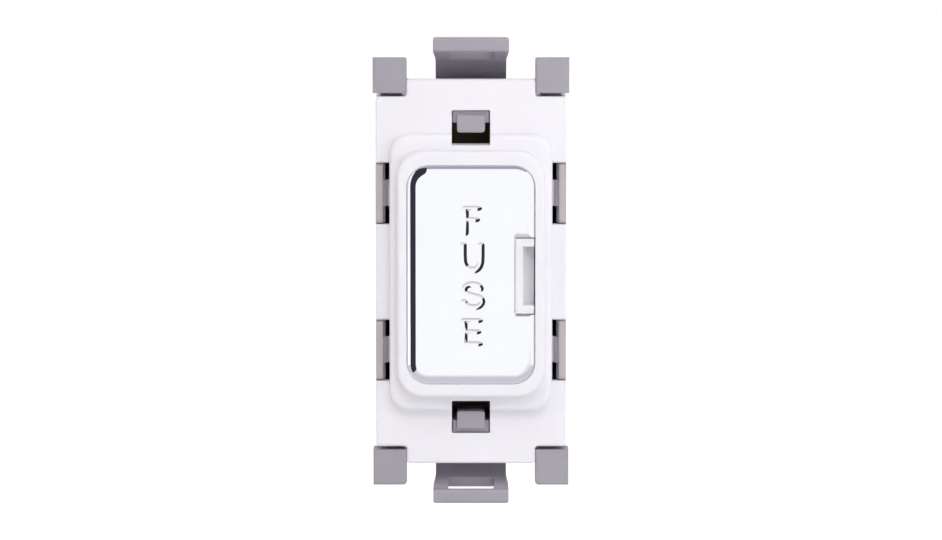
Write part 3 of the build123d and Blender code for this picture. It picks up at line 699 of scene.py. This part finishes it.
class FUSEDOUTLET_OT_fuse(bpy.types.Operator):
    """Finish the cartridge fuse"""
    bl_idname = "fused_outlet.fuse"
    bl_label = "Cartridge Fuse"

    def execute(self, context):
        metals = context.scene.outlet_metal
        dress("fuse_barrel", moulded("Fuse Ceramic", context.scene.outlet_plastic.ceramic, 0.3, bump=0.15))
        plating = metal("Plated Cap", metals.nickel, 0.22, (0.05, 0.05, 1.0))
        for node in ("fuse_cap_upper", "fuse_cap_lower"):
            dress(node, plating)
        dress("fuse_element", metal("Fuse Wire", metals.wire, 0.3, (1.0, 1.0, 0.05)))
        return {"FINISHED"}


class FUSEDOUTLET_OT_contacts(bpy.types.Operator):
    """Finish the contact clips and their springs"""
    bl_idname = "fused_outlet.contacts"
    bl_label = "Contacts"

    def execute(self, context):
        metals = context.scene.outlet_metal
        brass = metal("Contact Brass", metals.brass, 0.28, (1.0, 0.05, 1.0))
        steel = metal("Spring Steel", metals.steel, 0.34, (1.0, 0.05, 1.0), drift=0.08)
        for end in ("upper", "lower"):
            dress("contact_clip_" + end, brass)
            dress("contact_spring_" + end, steel)
        return {"FINISHED"}


class FUSEDOUTLET_OT_terminals(bpy.types.Operator):
    """Finish the terminal blocks and screws"""
    bl_idname = "fused_outlet.terminals"
    bl_label = "Terminals"

    def execute(self, context):
        metals = context.scene.outlet_metal
        # Painted shade: the dark brass stands in for the shade on the blocks deep behind the windows; the
        # higher roughness is the brass's own dull finish
        block_brass_in_painted_shade = metal("Terminal Brass", metals.terminal, 0.5, (0.05, 1.0, 1.0), drift=0.08)
        screw = metal("Screw Brass", metals.brass, 0.2, (1.0, 0.4, 1.0), drift=0.04)
        for side in ("supply", "load"):
            dress("terminal_block_" + side, block_brass_in_painted_shade)
            dress("terminal_screw_" + side, screw)
        return {"FINISHED"}


# Camera, light and surroundings

def camera_in_scene(studio, target):
    """A camera at the photograph's angle."""
    data = bpy.data.cameras.new("Camera")
    data.sensor_width = SENSOR_WIDTH_MM
    data.lens = studio.camera_distance / studio.pixel_size / PICTURE_WIDTH * SENSOR_WIDTH_MM
    data.clip_start, data.clip_end = 0.01, 20.0
    camera = bpy.data.objects.new("Camera", data)
    bpy.context.scene.collection.objects.link(camera)
    tilt = studio.camera_elevation
    back = Vector((0, -math.cos(tilt), math.sin(tilt)))
    camera.location = target + back * studio.camera_distance
    camera.rotation_euler = (-back).to_track_quat("-Z", "Y").to_euler()
    bpy.context.scene.camera = camera


def area_lamp(name, place, size, watts, colour):
    """A soft lamp that lights the module and isn't mirrored in it."""
    data = bpy.data.lights.new(name, "AREA")
    data.shape = "RECTANGLE"
    data.size, data.size_y = size
    data.energy = watts
    data.color = colour
    lamp = bpy.data.objects.new(name, data)
    bpy.context.scene.collection.objects.link(lamp)
    lamp.location = place
    lamp.rotation_euler = (-Vector(place)).to_track_quat("-Z", "Y").to_euler()
    lamp.visible_glossy = False


def card(name, rows, colour):
    """A sheet that only polished surfaces see, through rows of places in space."""
    bm = bmesh.new()
    join_strips(bm, [[bm.verts.new(place) for place in row] for row in rows])
    made = object_from(bm, name)
    material, nodes, links = bare_material(name)
    glow = nodes.new("ShaderNodeEmission")
    glow.inputs["Color"].default_value = (*colour, 1.0)
    end = nodes.new("ShaderNodeOutputMaterial")
    links.new(glow.outputs[0], end.inputs["Surface"])
    made.data.materials.append(material)
    made.visible_camera = False
    made.visible_diffuse = False
    made.visible_shadow = False
    made.visible_transmission = False
    made.visible_volume_scatter = False


def upright_card(name, distance, left, right, bottom, top, colour):
    """A card bent round the object. Its bearings are in degrees from straight ahead of the front
    plate, to the left."""
    steps = 12
    turns = [math.radians(left + (right - left) * step / steps) for step in range(steps + 1)]
    card(name, [[(-distance * math.sin(turn), -distance * math.cos(turn), height) for turn in turns]
                for height in (bottom, top)], colour)


def level_card(name, height, left, right, front, back, colour):
    """A level card over or under the object."""
    card(name, [[(left, y, height), (right, y, height)] for y in (front, back)], colour)


def seen_directly(nodes, links):
    """One where a ray comes from the camera, or by way of metal or glass."""
    path = nodes.new("ShaderNodeLightPath")
    both = math_node(nodes, links, "MAXIMUM", path.outputs["Is Camera Ray"], path.outputs["Is Glossy Ray"])
    return math_node(nodes, links, "MAXIMUM", both, path.outputs["Is Transmission Ray"])


def floor_in_scene(studio):
    """A pale floor that keeps the object's shadow."""
    bm = bmesh.new()
    bmesh.ops.create_grid(bm, x_segments=1, y_segments=1, size=4.0)
    floor = object_from(bm, "floor")
    floor.location = (0, 0, -studio.floor_drop)
    material, nodes, links = bare_material("Studio Floor")
    matt = nodes.new("ShaderNodeBsdfDiffuse")
    matt.inputs["Color"].default_value = (*studio.floor_colour, 1.0)
    glow = nodes.new("ShaderNodeEmission")
    glow.inputs["Color"].default_value = (1.0, 1.0, 1.0, 1.0)
    seen = seen_directly(nodes, links)
    links.new(math_node(nodes, links, "MULTIPLY", seen, studio.floor_glow), glow.inputs["Strength"])
    both = nodes.new("ShaderNodeAddShader")
    end = nodes.new("ShaderNodeOutputMaterial")
    links.new(matt.outputs[0], both.inputs[0])
    links.new(glow.outputs[0], both.inputs[1])
    links.new(both.outputs[0], end.inputs["Surface"])
    floor.data.materials.append(material)


def world_in_scene(studio):
    """Soft light all round, weaker from straight ahead, and plain white behind the object."""
    world = bpy.data.worlds.new("Studio")
    bpy.context.scene.world = world
    world.use_nodes = True
    nodes, links = world.node_tree.nodes, world.node_tree.links
    light = nodes["Background"]
    light.inputs["Color"].default_value = (0.97, 0.975, 1.0, 1.0)
    place = nodes.new("ShaderNodeTexCoord")
    ahead = nodes.new("ShaderNodeVectorMath")
    ahead.operation = "DOT_PRODUCT"
    ahead.inputs[1].default_value = (0.0, -1.0, 0.0)
    links.new(place.outputs["Generated"], ahead.inputs[0])
    dip_starts, dip_ends = math.cos(math.radians(55)), math.cos(math.radians(25))
    strength = spread(nodes, links, ahead.outputs["Value"], dip_starts, dip_ends,
                      studio.ambient, studio.ambient_ahead)
    links.new(strength.outputs[0], light.inputs["Strength"])
    white = nodes.new("ShaderNodeBackground")
    white.inputs["Color"].default_value = (1.0, 1.0, 1.0, 1.0)
    white.inputs["Strength"].default_value = 1.0
    mix = nodes.new("ShaderNodeMixShader")
    links.new(seen_directly(nodes, links), mix.inputs[0])
    links.new(light.outputs[0], mix.inputs[1])
    links.new(white.outputs[0], mix.inputs[2])
    links.new(mix.outputs[0], nodes["World Output"].inputs["Surface"])


class FUSEDOUTLET_OT_stage(bpy.types.Operator):
    """Set up the camera, floor, backdrop and lamps"""
    bl_idname = "fused_outlet.stage"
    bl_label = "Stage"

    def execute(self, context):
        studio = context.scene.outlet_studio
        target = Vector((studio.aim_right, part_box("front_plate")[0].y + PLATE_RISE, studio.aim_up))
        camera_in_scene(studio, target)
        world_in_scene(studio)
        floor_in_scene(studio)
        laid = CARD_LIFT - studio.floor_drop
        stacked = laid + CARD_LIFT
        # A dark card bent round the front's left, and a dark wedge on the floor from its foot to the object
        upright_card("dark_card", 0.28, 4, 43.4, laid, 0.33, DARK_CARD)
        card("dark_floor_card", [[(-0.019, -0.275, stacked), (-0.051, -0.054, stacked)],
                                 [(-0.26, -0.275, stacked), (-0.052, -0.054, stacked)]], DARK_CARD)
        # Floor cards; the grey ones are painted shadow of the floor under the object
        for name, *sides, colour in FLOOR_CARDS:
            level_card(name, laid, *sides, colour)
        level_card("high_card", 0.30, -0.30, 0.30, -0.38, 0.20, (0.37, 0.35, 0.455))
        for lamp in LAMPS:
            area_lamp(*lamp)
        context.scene.view_settings.view_transform = "Standard"
        return {"FINISHED"}


class FUSEDOUTLET_PT_looks(bpy.types.Panel):
    """Lists the pieces and the stage"""
    bl_idname = "FUSEDOUTLET_PT_looks"
    bl_label = "Fused Outlet"
    bl_space_type = "VIEW_3D"
    bl_region_type = "UI"
    bl_category = "Fused Outlet"

    def draw(self, context):
        for operator in OPERATORS:
            self.layout.operator(operator.bl_idname)


SETTINGS = {
    "outlet_studio": StudioSettings,
    "outlet_plastic": PlasticSettings,
    "outlet_metal": MetalSettings,
    "outlet_cover": CoverSettings,
}
OPERATORS = (
    FUSEDOUTLET_OT_front_plate,
    FUSEDOUTLET_OT_housing,
    FUSEDOUTLET_OT_carrier,
    FUSEDOUTLET_OT_cover,
    FUSEDOUTLET_OT_fuse,
    FUSEDOUTLET_OT_contacts,
    FUSEDOUTLET_OT_terminals,
    FUSEDOUTLET_OT_stage,
)


def register():
    for kind in (*SETTINGS.values(), *OPERATORS, FUSEDOUTLET_PT_looks):
        bpy.utils.register_class(kind)
    for name, kind in SETTINGS.items():
        setattr(bpy.types.Scene, name, PointerProperty(type=kind))


def unregister():
    for name in SETTINGS:
        delattr(bpy.types.Scene, name)
    for kind in (FUSEDOUTLET_PT_looks, *reversed(OPERATORS), *SETTINGS.values()):
        bpy.utils.unregister_class(kind)


def main():
    register()
    bpy.context.view_layer.update()
    for operator in OPERATORS:
        section, name = operator.bl_idname.split(".")
        getattr(getattr(bpy.ops, section), name)()


if __name__ == "__main__":
    main()
